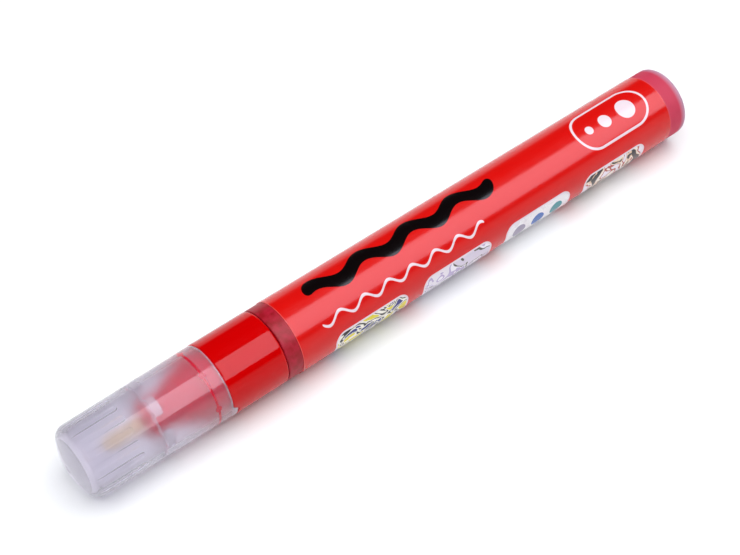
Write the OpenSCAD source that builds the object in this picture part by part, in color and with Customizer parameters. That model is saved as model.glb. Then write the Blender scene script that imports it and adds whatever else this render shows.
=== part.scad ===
// Valve-action paint marker with a fibre nib, capped and lying on its side.
// The pen's axis runs along X, cap towards -X and tail towards +X, and the floor is at Z = 0.
// Inside the modules a station u is the distance from the outside of the cap's closed end.

/* [Barrel] */
// Outside diameter of the bare barrel tube
barrel_d = 14.3; // [13.6:0.1:15.5]
// Length of the barrel from its open front to the tail face
barrel_l = 99.6; // [80:0.1:130]
// Wall of the barrel tube
barrel_wall = 1.1; // [0.8:0.05:1.3]
// Thickness of the closed tail
tail_wall = 1.3; // [0.8:0.1:3]
// Rounding of the outside edge of the tail
tail_round = 0.35; // [0.1:0.05:0.7]
// Rounding inside the tail, where the wall meets the closed end
tail_fillet = 0.9; // [0.3:0.1:2]

/* [Label] */
// Thickness of the wrapped film
label_t = 0.1; // [0.06:0.01:0.2]
// Bare barrel left in front of the film
label_gap = 3.05; // [1:0.05:8]
// Bare barrel left behind the film
tail_bare = 4.5; // [1:0.1:12]

/* [Front section] */
// Diameter of the collar that shows between the cap and the barrel
collar_d = 14.4; // [14:0.1:15.5]
// Length of that collar
collar_l = 11.9; // [9:0.1:20]
// Rounding of the collar's rear edge
collar_round = 0.5; // [0.1:0.05:0.8]
// Rounding of the collar's front edge
collar_front_round = 0.15; // [0.05:0.05:0.4]
// Length of the plug that is pressed into the barrel
plug_l = 9; // [7.5:0.1:14]
// Length of the straight spigot under the mouth of the cap
spigot_l = 3.3; // [2.6:0.1:5]
// Height of the snap ring above the spigot
snap_h = 0.12; // [0.05:0.01:0.2]
// Diameter of the snap bumps on that ring
bump_d = 1.1; // [0.6:0.1:1.4]
// Length of the cone between the spigot and the nib holder
cone_l = 6.2; // [4:0.1:8]
// Diameter of the nib holder
holder_d = 6.4; // [5.6:0.1:7.4]
// Length of the nib holder
holder_l = 4.8; // [4.2:0.1:7]

/* [Nib] */
// Diameter of the fibre nib
nib_d = 2.6; // [2:0.1:3]
// Length of nib that stands out of the holder
nib_out = 7.6; // [4:0.1:10]
// Length of nib inside the holder and the valve stem
nib_in = 10.3; // [9.5:0.1:11.5]
// Length of the bullet-shaped point
nib_point = 1.9; // [1:0.1:3]

/* [Cap] */
// Length of the cap
cap_l = 28.5; // [26:0.1:36]
// Outside diameter at the mouth of the cap
cap_mouth_d = 14.3; // [14:0.05:15]
// Outside diameter at the closed end, before the edge turns in
cap_end_d = 13.7; // [13.4:0.05:14.2]
// Wall of the cap's side
cap_wall = 0.9; // [0.7:0.05:1.1]
// Thickness of the cap's closed end
cap_end_wall = 1.3; // [0.8:0.1:2.5]
// Rounding between the cap's side and its closed end
cap_round = 2; // [1:0.1:3]
// Radius of the shallow dome on the closed end
cap_dome_r = 14.2; // [11:0.1:40]
// Number of fine ribs that grip the liner
rib_n = 16; // [6:1:24]
// Length of the ribs from the closed end
rib_l = 9.5; // [4:0.1:11]
// Width of a rib
rib_w = 0.6; // [0.4:0.05:1]
// Height of a rib above the cap's inner wall
rib_h = 0.35; // [0.2:0.05:0.6]
// How far the lifting tab stands out of the mouth
tab_l = 0.95; // [0.4:0.05:2]
// Width of the lifting tab
tab_w = 6; // [3:0.1:8]
// Clock position of the lifting tab round the axis, counted from straight down
tab_clock = 296; // [0:1:359]

/* [Cap liner] */
// Wall of the liner's tube
liner_wall = 0.6; // [0.4:0.05:1]
// Thickness of the web that carries the sealing lip
web_t = 0.7; // [0.4:0.05:1.2]
// Length of the lip that seals on the nib holder
lip_l = 3.2; // [1.5:0.1:3.6]
// Wall of the sealing lip
lip_wall = 0.55; // [0.35:0.05:0.8]
// Number of teeth on the liner's rim, and of snap bumps on the spigot
tooth_n = 6; // [4:1:8]
// Length of a tooth
tooth_l = 2; // [1:0.1:2.8]
// Width of a tooth
tooth_w = 3; // [1.5:0.1:4]

/* [Valve] */
// How far the nib can be pressed in
stroke = 1.8; // [1:0.1:2.4]
// Diameter of the bore in the front section that takes the valve body
valve_bore_d = 8.8; // [8:0.1:9.2]
// Depth of that bore from the rear of the plug
valve_bore_l = 18.9; // [18:0.1:20]
// Length of the valve body
valve_l = 13.5; // [12:0.1:15]
// Side wall of the valve body
valve_wall = 1.1; // [0.8:0.05:1.2]
// Thickness of the valve body's seat
seat_t = 1.8; // [1:0.1:2.5]
// Diameter of the paint hole through the seat
seat_hole_d = 3.2; // [2.6:0.1:3.6]
// Diameter of the stem where it passes the seat
stem_d = 1.8; // [1.4:0.1:2]
// Depth of the cup that holds the end of the nib
cup_depth = 3; // [2:0.1:3.8]
// Wall of that cup
cup_wall = 0.66; // [0.5:0.02:0.7]
// Floor of that cup
cup_floor = 1; // [0.6:0.1:1.5]
// Room for paint round the cup, and in front of it
paint_room = 0.5; // [0.3:0.05:0.6]
// Outside diameter of the soft seal
seal_d = 4.8; // [4.2:0.1:5.6]
// Thickness of the soft seal
seal_t = 0.8; // [0.5:0.05:1.2]
// Thickness of the stem's head
head_t = 1; // [0.6:0.1:1.5]
// Length of the cage's plug inside the valve body
cage_plug_l = 1.95; // [1.2:0.05:2.5]
// Thickness of the cage's flange
cage_flange_t = 1; // [0.6:0.1:1.6]
// Number of paint inlets through the cage
inlet_n = 4; // [3:1:6]
// Diameter of a paint inlet
inlet_d = 1.1; // [0.6:0.1:1.2]
// Wall left outside the paint inlets
inlet_edge = 0.2; // [0.15:0.05:0.3]
// Mean diameter of the valve spring
spring_d = 3.8; // [3.4:0.1:4.2]
// Diameter of the spring wire
wire_d = 0.4; // [0.3:0.05:0.5]
// Number of turns in the valve spring
turns = 6; // [3:1:7]
// Room between the spring and its guide on the stem
guide_gap = 0.65; // [0.4:0.05:0.8]

/* [Mixing ball] */
// Diameter of the steel ball
ball_d = 5; // [4:0.1:6]
// Distance of the ball's centre from the tail face, where it lies
ball_back = 28; // [6:1:60]

/* [Clearances] */
// Gap between pieces that are pressed or glued together
fit_gap = 0.02; // [0.01:0.01:0.05]
// Radial gap where the nib slides in its holder
slide_gap = 0.06; // [0.03:0.01:0.1]
// Radial gap between the lip and the nib holder, and between the cap and the snap ring
cap_gap = 0.05; // [0.03:0.01:0.1]
// Gap round the lifting tab, and at the end of a travel
tab_gap = 0.1; // [0.05:0.05:0.2]

/* [Hidden] */
$fn = 96;
// How far a cutting shape runs past the face that it cuts
over = 1;

// Stations along the pen
section_u = cap_l + fit_gap;
barrel_u = section_u + collar_l + fit_gap;
plug_end_u = barrel_u + plug_l;
total_l = barrel_u + barrel_l;
cone_u = section_u - spigot_l - cone_l;
front_u = cone_u - holder_l;
nib_tip_u = front_u - nib_out;
nib_rear_u = front_u + nib_in;
valve_u = plug_end_u - valve_bore_l;
seat_u = valve_u + seat_t;
head_u = seat_u + fit_gap + seal_t;
valve_end_u = valve_u + valve_l;
cage_u = valve_end_u - cage_plug_l;

// Radii that several pieces share
barrel_r = barrel_d / 2;
bore_r = barrel_r - barrel_wall;
label_r = barrel_r + label_t;
plug_r = bore_r - fit_gap;
valve_r = valve_bore_d / 2 - fit_gap;
valve_room_r = valve_r - valve_wall;
nib_bore_r = nib_d / 2 + slide_gap;
cup_r = nib_d / 2 + fit_gap + cup_wall;
chamber_r = cup_r + paint_room;
chamber_u = nib_rear_u - cup_depth - 2 * paint_room;
axis_h = max(label_r, collar_d / 2, cap_mouth_d / 2);

// Cap outline: a dome, a rounded edge that meets it without a crease, and a drafted side
cap_end_r = cap_end_d / 2;
cap_mouth_r = cap_mouth_d / 2;
edge_r = cap_end_r - cap_round;
edge_u = cap_dome_r - sqrt(pow(cap_dome_r - cap_round, 2) - edge_r * edge_r);
edge_angle = atan2(edge_u - cap_dome_r, edge_r);
inner_round = cap_round - cap_wall;
inner_edge_u = cap_end_wall + inner_round;
cap_draft = (cap_mouth_r - cap_end_r) / (cap_l - edge_u);
function cap_inner_r(u) = cap_end_r - cap_wall + cap_draft * (u - edge_u);

// Snap ring on the spigot, which the cap's wall just clears
bead_r = 2 * snap_h;
snap_u = section_u - spigot_l + bump_d / 2 + snap_h;
snap_r = cap_inner_r(snap_u) - cap_gap;
spigot_r = snap_r - snap_h;

// Liner: its tube sits inside the ribs and its rim reaches the cap's wall
rib_crest_r = cap_inner_r(edge_u) - rib_h;
liner_r = rib_crest_r - fit_gap;
web_set_back = 0.1;
web_u = front_u + web_set_back;
rim_r = cap_inner_r(web_u) - fit_gap;
holder_r = holder_d / 2;
lip_r = holder_r + cap_gap;
tooth_clock = 21;
rib_clock = 11.5;

// Valve spring, between the stem's head and the cage
spring_u = head_u + head_t + fit_gap;
spring_l = cage_u - fit_gap - spring_u;
ring_steps = 8;
wire_sides = 6;
spring_pitch = (spring_l - wire_d) / turns;
function coil_point(i) = let (a = 360 * i / ring_steps)
    [spring_d / 2 * cos(a), spring_d / 2 * sin(a), spring_u + wire_d / 2 + spring_pitch * i / ring_steps];
function wire_point(i, k) = let (a = 360 * i / ring_steps, b = 360 * k / wire_sides)
    coil_point(i) + wire_d / 2 * [cos(b) * cos(a), cos(b) * sin(a), sin(b)];
coil_steps = turns * ring_steps;
coil_gap = min([for (i = [0 : coil_steps - ring_steps])
    norm(coil_point(i + ring_steps) - coil_point(i)) - wire_d]);
echo(str("valve spring gap between turns: ", coil_gap, " mm"));

// Points along an arc, from one angle to the other
function arc(centre, r, a0, a1, n = 8) =
    [for (i = [0 : n]) let (a = a0 + (a1 - a0) * i / n) centre + r * [cos(a), sin(a)]];

// Lays a shape that is built along its own Z down on the pen's axis
module along_pen() {
    translate([-total_l / 2, 0, axis_h]) rotate([0, 90, 0]) children();
}

// Hollow cylinder between two stations
module tube(r_out, r_in, u0, u1) {
    difference() {
        translate([0, 0, u0]) cylinder(h = u1 - u0, r = r_out);
        translate([0, 0, u0 - over]) cylinder(h = u1 - u0 + 2 * over, r = r_in);
    }
}

// Radial prism with slanted flanks, which shapes the lifting tab and its notch
module tab_prism(grow) {
    half_w = tab_w / 2 + grow;
    reach = tab_l + grow;
    rotate(tab_clock) translate([cap_mouth_r + over, 0, cap_l]) rotate([90, 0, -90])
        linear_extrude(height = cap_wall + 2 * over)
            polygon([[-half_w - over, -over], [half_w + over, -over], [half_w, 0],
                     [half_w - reach, reach], [reach - half_w, reach], [-half_w, 0]]);
}

// Barrel: one moulded tube with a closed tail, the paint reservoir
module barrel() {
    mouth_chamfer = 0.2;
    floor_u = total_l - tail_wall;
    color([0.78, 0.25, 0.32]) along_pen() rotate_extrude()
        polygon(concat(
            [[bore_r + mouth_chamfer, barrel_u], [barrel_r - mouth_chamfer, barrel_u],
             [barrel_r, barrel_u + mouth_chamfer]],
            arc([barrel_r - tail_round, total_l - tail_round], tail_round, 0, 90, 4),
            [[0, total_l], [0, floor_u]],
            arc([bore_r - tail_fillet, floor_u - tail_fillet], tail_fillet, 90, 0, 5),
            [[bore_r, barrel_u + 2 * mouth_chamfer]]));
}

// Label: the printed film wrapped round the barrel
module label() {
    color([0.86, 0.06, 0.04]) along_pen()
        tube(label_r, barrel_r + fit_gap / 2, barrel_u + label_gap, total_l - tail_bare);
}

// Front section: collar, cone and nib holder in one moulding, with the plug behind
module front_section() {
    tip_chamfer = 0.3;
    lead_in = 0.4;
    color([0.80, 0, 0]) along_pen() difference() {
        union() {
            rotate_extrude() polygon(concat(
                [[0, front_u], [holder_r - tip_chamfer, front_u], [holder_r, front_u + tip_chamfer],
                 [holder_r, cone_u], [spigot_r - tip_chamfer, section_u - spigot_l],
                 [spigot_r, section_u - spigot_l], [spigot_r, section_u]],
                arc([collar_d / 2 - collar_front_round, section_u + collar_front_round],
                    collar_front_round, -90, 0, 2),
                arc([collar_d / 2 - collar_round, barrel_u - fit_gap - collar_round], collar_round, 0, 90, 5),
                [[plug_r, barrel_u - fit_gap], [plug_r, plug_end_u - lead_in],
                 [plug_r - lead_in, plug_end_u], [0, plug_end_u]]));
            snap_ring();
        }
        translate([0, 0, front_u - over]) cylinder(h = chamber_u - front_u + 2 * over, r = nib_bore_r);
        translate([0, 0, chamber_u]) cylinder(h = valve_u - chamber_u + over, r = chamber_r);
        translate([0, 0, valve_u]) cylinder(h = valve_bore_l + over, d = valve_bore_d);
        difference() {
            tab_prism(tab_gap);
            translate([0, 0, cap_l - 2 * over])
                cylinder(h = tab_l + 4 * over, r = cap_inner_r(cap_l) - tab_gap);
        }
    }
}

// Low ring and bumps on the spigot, which click into the mouth of the cap
module snap_ring() {
    rotate_extrude() translate([snap_r - bead_r, snap_u]) circle(bead_r);
    for (i = [0 : tooth_n - 1])
        rotate(tooth_clock + 360 * i / tooth_n)
            translate([0, 0, snap_u]) rotate([0, 90, 0]) cylinder(h = snap_r - fit_gap, d = bump_d);
}

// Valve body: a cup pressed into the front section, with the seat at its front
module valve_body() {
    color([0.93, 0.93, 0.91]) along_pen() difference() {
        translate([0, 0, valve_u + fit_gap]) cylinder(h = valve_l - fit_gap, r = valve_r);
        translate([0, 0, valve_u - over]) cylinder(h = seat_t + 2 * over, d = seat_hole_d);
        translate([0, 0, seat_u]) cylinder(h = valve_l, r = valve_room_r);
    }
}

// Valve cage: the rear stopper of the valve, which carries the spring and lets paint in
module valve_cage() {
    inlet_ring_r = valve_room_r - fit_gap - inlet_d / 2 - inlet_edge;
    color([0.90, 0.90, 0.93]) along_pen() difference() {
        union() {
            translate([0, 0, cage_u]) cylinder(h = cage_plug_l + fit_gap, r = valve_room_r - fit_gap);
            translate([0, 0, valve_end_u + fit_gap]) cylinder(h = cage_flange_t, r = valve_r);
        }
        for (i = [0 : inlet_n - 1])
            rotate(360 * i / inlet_n) translate([inlet_ring_r, 0, cage_u - over])
                cylinder(h = cage_plug_l + cage_flange_t + 2 * over, d = inlet_d);
    }
}

// Valve spring: one open coil that holds the stem against the seat
module valve_spring() {
    last = coil_steps;
    points = [for (i = [0 : last]) for (k = [0 : wire_sides - 1]) wire_point(i, k)];
    function at(i, k) = i * wire_sides + k % wire_sides;
    sides = [for (i = [0 : last - 1]) for (k = [0 : wire_sides - 1]) each
        [[at(i, k), at(i, k + 1), at(i + 1, k)], [at(i + 1, k), at(i, k + 1), at(i + 1, k + 1)]]];
    ends = [for (k = [1 : wire_sides - 2]) each
        [[at(0, 0), at(0, k + 1), at(0, k)], [at(last, 0), at(last, k), at(last, k + 1)]]];
    color([0.72, 0.73, 0.75]) along_pen() polyhedron(points, concat(sides, ends));
}

// Cap shell: translucent moulding with ribs inside its closed end and a lifting tab on its mouth
module cap_shell() {
    tab_u = cap_l + tab_l;
    color([0.84, 0.83, 0.88]) along_pen() difference() {
        rotate_extrude() polygon(concat(
            arc([0, cap_dome_r], cap_dome_r, -90, edge_angle, 5),
            arc([edge_r, edge_u], cap_round, edge_angle, 0, 8),
            [[cap_inner_r(tab_u) + cap_wall, tab_u], [0, tab_u]]));
        difference() {
            rotate_extrude() polygon(concat(
                [[0, tab_u + over], [cap_inner_r(tab_u + over), tab_u + over]],
                arc([cap_inner_r(inner_edge_u) - inner_round, inner_edge_u], inner_round, 0, -90, 6),
                [[0, cap_end_wall]]));
            cap_ribs();
        }
        difference() {
            translate([0, 0, cap_l]) cylinder(h = tab_l + over, r = cap_mouth_d);
            tab_prism(0);
        }
    }
}

// Fine ribs with rounded ends, standing in from the cap's inner wall
module cap_ribs() {
    for (i = [0 : rib_n - 1])
        rotate(rib_clock + 360 * i / rib_n) {
            translate([rib_crest_r, -rib_w / 2, 0]) cube([cap_wall + rib_h, rib_w, cap_end_wall + rib_l]);
            translate([rib_crest_r, 0, cap_end_wall + rib_l]) rotate([0, 90, 0])
                cylinder(h = cap_wall + rib_h, d = rib_w);
        }
}

// Cap liner: inner cup with a lip that seals on the nib holder and a toothed rim
module cap_liner() {
    tube_u = cap_end_wall + inner_round;
    teeth_u = web_u + web_t;
    lip_clear = 0.3;
    gap_r = lip_r + lip_wall + lip_clear;
    gap_w = 2 * rim_r * sin(180 / tooth_n) - tooth_w;
    color([0.92, 0.92, 0.94]) along_pen() difference() {
        rotate_extrude() polygon([
            [liner_r - liner_wall, tube_u], [liner_r, tube_u], [liner_r, web_u], [rim_r, web_u],
            [rim_r, teeth_u + tooth_l], [rim_r - liner_wall, teeth_u + tooth_l],
            [rim_r - liner_wall, teeth_u], [lip_r + lip_wall, teeth_u], [lip_r + lip_wall, teeth_u + lip_l],
            [lip_r, teeth_u + lip_l], [lip_r, web_u], [liner_r - liner_wall, web_u]]);
        for (i = [0 : tooth_n - 1])
            rotate(tooth_clock + 360 * (i + 0.5) / tooth_n) translate([gap_r, -gap_w / 2, teeth_u])
                cube([rim_r, gap_w, tooth_l + over]);
    }
}

// Nib: a bonded fibre rod with a bullet point
module nib() {
    nib_r = nib_d / 2;
    rear_chamfer = 0.2;
    color([0.90, 0.84, 0.75]) along_pen() rotate_extrude()
        polygon(concat(
            [for (i = [0 : 8]) let (a = 90 * i / 8)
                [nib_r * sin(a), nib_tip_u + nib_point * (1 - cos(a))]],
            [[nib_r, nib_rear_u - rear_chamfer], [nib_r - rear_chamfer, nib_rear_u], [0, nib_rear_u]]));
}

// Valve stem: a cup for the nib, a rod through the seat, the valve head and the spring guide
module valve_stem() {
    cup_in_r = nib_d / 2 + fit_gap;
    cup_u = nib_rear_u + fit_gap;
    guide_r = spring_d / 2 - wire_d / 2 - guide_gap;
    guide_u = cage_u - stroke - tab_gap;
    color([0.95, 0.95, 0.93]) along_pen() rotate_extrude()
        polygon([[0, cup_u], [cup_in_r, cup_u], [cup_in_r, cup_u - cup_depth], [cup_r, cup_u - cup_depth],
                 [cup_r, cup_u + cup_floor], [stem_d / 2, cup_u + cup_floor], [stem_d / 2, head_u],
                 [seal_d / 2, head_u],
                 [seal_d / 2, head_u + head_t], [guide_r, head_u + head_t], [guide_r, guide_u],
                 [0, guide_u]]);
}

// Valve seal: a soft washer on the stem that closes the seat
module valve_seal() {
    color([0.25, 0.25, 0.27]) along_pen()
        tube(seal_d / 2, stem_d / 2 + fit_gap, seat_u + fit_gap, head_u - fit_gap / 2);
}

// Mixing ball: loose in the barrel, lying on the lowest line of the bore
module mixing_ball() {
    drop = bore_r - ball_d / 2 - slide_gap;
    color([0.70, 0.71, 0.73])
        translate([total_l / 2 - ball_back, 0, axis_h - drop]) sphere(d = ball_d);
}

barrel();
label();
front_section();
valve_body();
valve_cage();
valve_spring();
cap_shell();
cap_liner();
nib();
valve_stem();
valve_seal();
mixing_ball();
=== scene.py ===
# %% [markdown]
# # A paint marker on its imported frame
# A paint marker is a row of round mouldings that are pressed into each other: a translucent cap, a red front section
# with the nib, a barrel that holds the paint, and a printed film wrapped round the barrel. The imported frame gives
# each piece its place and its motion. This lesson gives each piece its fine shape and its finish.

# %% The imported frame
import math

import bmesh
import bpy
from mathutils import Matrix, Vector


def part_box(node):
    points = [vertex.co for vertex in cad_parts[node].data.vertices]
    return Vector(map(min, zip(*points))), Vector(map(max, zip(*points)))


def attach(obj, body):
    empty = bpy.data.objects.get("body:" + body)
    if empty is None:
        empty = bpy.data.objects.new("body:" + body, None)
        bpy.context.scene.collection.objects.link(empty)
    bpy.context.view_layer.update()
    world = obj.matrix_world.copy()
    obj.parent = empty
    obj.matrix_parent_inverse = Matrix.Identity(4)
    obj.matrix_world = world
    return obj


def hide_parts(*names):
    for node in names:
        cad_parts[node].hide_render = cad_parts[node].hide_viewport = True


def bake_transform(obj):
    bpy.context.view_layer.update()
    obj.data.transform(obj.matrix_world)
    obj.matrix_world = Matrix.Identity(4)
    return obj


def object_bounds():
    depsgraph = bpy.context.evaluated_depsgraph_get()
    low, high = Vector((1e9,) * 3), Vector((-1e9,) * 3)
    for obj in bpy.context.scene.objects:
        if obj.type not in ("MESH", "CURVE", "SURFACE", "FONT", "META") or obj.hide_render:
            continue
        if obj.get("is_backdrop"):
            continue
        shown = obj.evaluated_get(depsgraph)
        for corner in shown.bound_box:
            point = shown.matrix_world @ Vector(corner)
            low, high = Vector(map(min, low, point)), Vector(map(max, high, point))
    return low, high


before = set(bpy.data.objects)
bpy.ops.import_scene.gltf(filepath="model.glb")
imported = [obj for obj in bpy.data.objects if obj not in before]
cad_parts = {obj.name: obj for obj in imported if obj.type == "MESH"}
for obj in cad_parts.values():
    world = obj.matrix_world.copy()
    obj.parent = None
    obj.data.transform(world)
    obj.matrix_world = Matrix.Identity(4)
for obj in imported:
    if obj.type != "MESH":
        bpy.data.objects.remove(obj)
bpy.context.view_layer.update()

print("packed nodes:", ", ".join(sorted(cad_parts)))

# %% [markdown]
# ## Measuring along the pen
# Everything on a pen is counted along its axis, so a place here is a station u in millimetres from the outside of
# the cap's closed end, a radius r from the axis, and a clock angle round it from straight down. Blender works in
# metres, so one function turns these three numbers into a point. The long sizes are read off the frame.

# %% Stations and points
MM = 0.001
x_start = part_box("cap_shell")[0].x
axis_z = sum(corner.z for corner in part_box("barrel")) / 2


def stations(node):
    """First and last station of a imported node, in mm."""
    return [round((corner.x - x_start) / MM, 3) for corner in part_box(node)]


def from_axis(u, r, clock):
    """Point at a station, radius and clock angle, with its height counted from the pen's axis."""
    return Vector((x_start + u * MM, r * MM * math.sin(clock), -r * MM * math.cos(clock)))


_, tab_end = stations("cap_shell")
liner_front, lip_end = stations("cap_liner")
nib_tip, nib_rear = stations("nib")
holder_front, plug_end = stations("front_section")
barrel_front, tail_end = stations("barrel")
label_front, label_rear = stations("label")
spring_front, spring_rear = stations("valve_spring")
print(f"pen of {tail_end:.2f} mm, axis {axis_z / MM:.2f} mm above the floor")

# %% [markdown]
# ## Round mouldings from an outline
# A moulded part of a pen is a lathe shape: an outline turned round an axis. The Screw modifier could turn it, but
# here some outlines change with the clock angle, such as the rim with its lifting tab, so a short sweep in bmesh
# is used. It joins the outline at one clock angle to the outline at the next, either all the way round or over an
# arc with two closed ends. No moulded edge is sharp, so the outlines are lists of corners, each with its own edge
# radius, and an extra point beside each arc holds the shading of the long straight sides flat.

# %% Rounded outlines
ARC_STEPS = 6
HOLD, HOLD_SHARE = 0.2, 0.2


def rounded(corners):
    """Outline of (u, r) points from (u, r, edge radius) corners. A radius of 0 keeps the corner as it is."""
    outline = []
    for i, (u, r, edge) in enumerate(corners):
        corner = Vector((u, r))
        if edge == 0:
            outline.append(corner)
            continue
        back = Vector(corners[i - 1][:2]) - corner
        ahead = Vector(corners[(i + 1) % len(corners)][:2]) - corner
        half = back.angle(ahead) / 2
        reach = edge / math.tan(half)
        centre = corner + (back.normalized() + ahead.normalized()).normalized() * edge / math.sin(half)
        start, end = (side.normalized() * reach + corner - centre for side in (back, ahead))
        first = math.atan2(start.y, start.x)
        turn = (math.atan2(end.y, end.x) - first + math.pi) % math.tau - math.pi
        hold_back, hold_ahead = (
            side.normalized() * min(HOLD, HOLD_SHARE * (side.length - reach)) for side in (back, ahead))
        outline.append(centre + start + hold_back)
        for step in range(ARC_STEPS + 1):
            angle = first + turn * step / ARC_STEPS
            outline.append(centre + edge * Vector((math.cos(angle), math.sin(angle))))
        outline.append(centre + end + hold_ahead)
    return outline


washer = rounded([(0, 1, 0.2), (2, 1, 0.2), (2, 3, 0.2), (0, 3, 0.2)])
print("the outline of a washer with round edges has", len(washer), "points")

# %% Sweeps
SHARP = math.radians(40)
SAME_POINT = 1e-7


def sweep(name, outline, clocks, finish=None, ends="joined", wrap=None):
    """Mesh object of an outline swept over clock angles. outline is a list of points, or a function of the angle.
    The ends of the turn are joined, capped or left open. wrap names an attribute of (u, clock) per point.
    Without a finish it is a pattern piece, made about the X axis itself so that a tree can turn it."""
    shape = bmesh.new()
    layer = shape.verts.layers.float_vector.new(wrap) if wrap else None
    height = Vector((0, 0, axis_z if finish else 0))
    rows = []
    for clock in clocks:
        points = outline(clock) if callable(outline) else outline
        rows.append([shape.verts.new(from_axis(u, r, clock) + height) for u, r in points])
        if wrap:
            for vert, (u, _) in zip(rows[-1], points):
                vert[layer] = (u, clock, 0)
    count = len(points)
    closed = points[0][1] > 0
    for row, after in zip(rows, rows[1:] + (rows[:1] if ends == "joined" else [])):
        for k in range(count if closed else count - 1):
            j = (k + 1) % count
            shape.faces.new((row[k], row[j], after[j], after[k]))
    if ends == "capped":
        shape.faces.new(rows[0])
        shape.faces.new(rows[-1])
    bmesh.ops.remove_doubles(shape, verts=shape.verts, dist=SAME_POINT)
    bmesh.ops.recalc_face_normals(shape, faces=shape.faces)
    mesh = bpy.data.meshes.new(name)
    shape.to_mesh(mesh)
    shape.free()
    mesh.shade_smooth()
    mesh.set_sharp_from_angle(angle=SHARP)
    piece = bpy.data.objects.new(name, mesh)
    bpy.context.scene.collection.objects.link(piece)
    if finish:
        mesh.materials.append(finish)
        print(f"{name}: {len(mesh.polygons)} faces")
    return piece


print(f"edges sharper than {math.degrees(SHARP):.0f} degrees stay crisp")

# %% [markdown]
# ## Nodes, colours and finishes
# Every finish is a small node tree. One function adds a node, sets what it is told and links what it is given, so a
# tree reads from top to bottom like a recipe. Colours are written as the sRGB hex values a designer would pick and
# turned to the linear values that the shader works in. Patterns are scaled in millimetres on the piece's own
# coordinates, so they stay in place when the piece moves.

# %% Nodes and finishes
def add(tree, kind, inputs=None, **settings):
    """Adds a node with its settings. inputs maps a socket to a value, or to a node or socket to link from."""
    node = tree.nodes.new(kind)
    for name, value in settings.items():
        setattr(node, name, value)
    for key, value in (inputs or {}).items():
        if isinstance(value, bpy.types.Node):
            value = value.outputs[0]
        if isinstance(value, bpy.types.NodeSocket):
            tree.links.new(value, node.inputs[key])
        else:
            node.inputs[key].default_value = value
    return node


def linear(code):
    """Linear RGBA of an sRGB hex colour."""
    shares = [int(code[i : i + 2], 16) / 255 for i in (1, 3, 5)]
    return *(c / 12.92 if c <= 0.04045 else ((c + 0.055) / 1.055) ** 2.4 for c in shares), 1.0


def new_finish(name, **sockets):
    """Material with its Principled shader's own sockets set, and the node that gives pen millimetres."""
    finish = bpy.data.materials.new(name)
    finish.use_nodes = True
    tree = finish.node_tree
    shader = tree.nodes["Principled BSDF"]
    for socket, value in sockets.items():
        shader.inputs[socket.replace("_", " ")].default_value = value
    where = add(tree, "ShaderNodeTexCoord")
    millimetres = add(tree, "ShaderNodeMapping", {
        "Vector": where.outputs["Object"], "Scale": (1 / MM,) * 3,
        "Location": (-x_start / MM, 0, -axis_z / MM)})
    return finish, tree, shader, millimetres


def feed(tree, shader, **sockets):
    """Links what varies over the surface to the shader's sockets."""
    for socket, value in sockets.items():
        tree.links.new(value, shader.inputs[socket.replace("_", " ")])


print("the sRGB grey #808080 is", round(linear("#808080")[0], 3), "in linear light")

# %% Patterns in millimetres
def speckle(tree, point, size, stretch=(1, 1, 1), detail=2):
    """Noise whose blotches are about size mm across, drawn out along the pen or round it by stretch."""
    scaled = add(tree, "ShaderNodeVectorMath", {0: point, 1: tuple(1 / s for s in stretch)}, operation="MULTIPLY")
    return add(tree, "ShaderNodeTexNoise", {"Vector": scaled, "Scale": 1 / size, "Detail": detail})


def blend(tree, share, low, high):
    """Colour between two others, by a share from 0 to 1."""
    return add(tree, "ShaderNodeMix", {0: share, 6: low, 7: high}, data_type="RGBA").outputs[2]


def between(tree, value, low, high, at_low=0, at_high=1):
    """Value carried from one range to another, and held at its ends."""
    return add(tree, "ShaderNodeMapRange", {0: value, 1: low, 2: high, 3: at_low, 4: at_high}).outputs[0]


def uneven(tree, pattern, low, high):
    """Value that wanders between two others with a pattern, most of which lies in its middle range."""
    return between(tree, pattern, 0.3, 0.7, low, high)


def place_on_pen(tree, mm):
    """Station and distance from the axis, in mm."""
    parts = add(tree, "ShaderNodeSeparateXYZ", {0: mm}).outputs
    spoke = add(tree, "ShaderNodeCombineXYZ", {1: parts["Y"], 2: parts["Z"]})
    return parts["X"], add(tree, "ShaderNodeVectorMath", {0: spoke}, operation="LENGTH").outputs["Value"]


def relief(tree, shader, height, depth):
    """Bumps of so many mm on the shader's surface."""
    bump = add(tree, "ShaderNodeBump", {"Height": height, "Distance": depth * MM, "Strength": 1})
    feed(tree, shader, Normal=bump.outputs["Normal"])


print("patterns count in mm:", round(1 / MM), "to a metre")

# %% [markdown]
# ## The camera and the light
# The photograph was taken from above the cap's side with a long lens, so two angles and a distance place the camera.
# Two softboxes hang over the table. The wide one gives the plain light and the soft shadow. Gloss would mirror all of
# it and turn the red pale, so mirror images leave it out. The narrow one is seen in mirror images only: it is the
# bright strip along the whole pen, so its long edges are parallel to the pen and set the strip's two edges. One lamp
# could do both jobs, but then the strip's brightness would be tied to the light on the table.

# %% Camera
AZIMUTH, ELEVATION, DISTANCE = math.radians(-39.617), math.radians(48.811), 0.28214
WALLS_CROSSED = 32
target = Vector((-0.00492, 0, axis_z))
back = Vector((math.sin(AZIMUTH) * math.cos(ELEVATION), -math.cos(AZIMUTH) * math.cos(ELEVATION),
               math.sin(ELEVATION)))
lens = bpy.data.cameras.new("camera")
lens.sensor_width, lens.lens = 36, 75.49
lens.shift_x, lens.shift_y = -0.0047, 0.0023
lens.clip_start, lens.clip_end = 0.01, 50
camera = bpy.data.objects.new("camera", lens)
bpy.context.scene.collection.objects.link(camera)
camera.location = target + back * DISTANCE
camera.rotation_mode = "QUATERNION"
camera.rotation_quaternion = (-back).to_track_quat("-Z", "Y")
bpy.context.scene.camera = camera
bpy.context.scene.view_settings.view_transform = "Standard"
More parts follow.
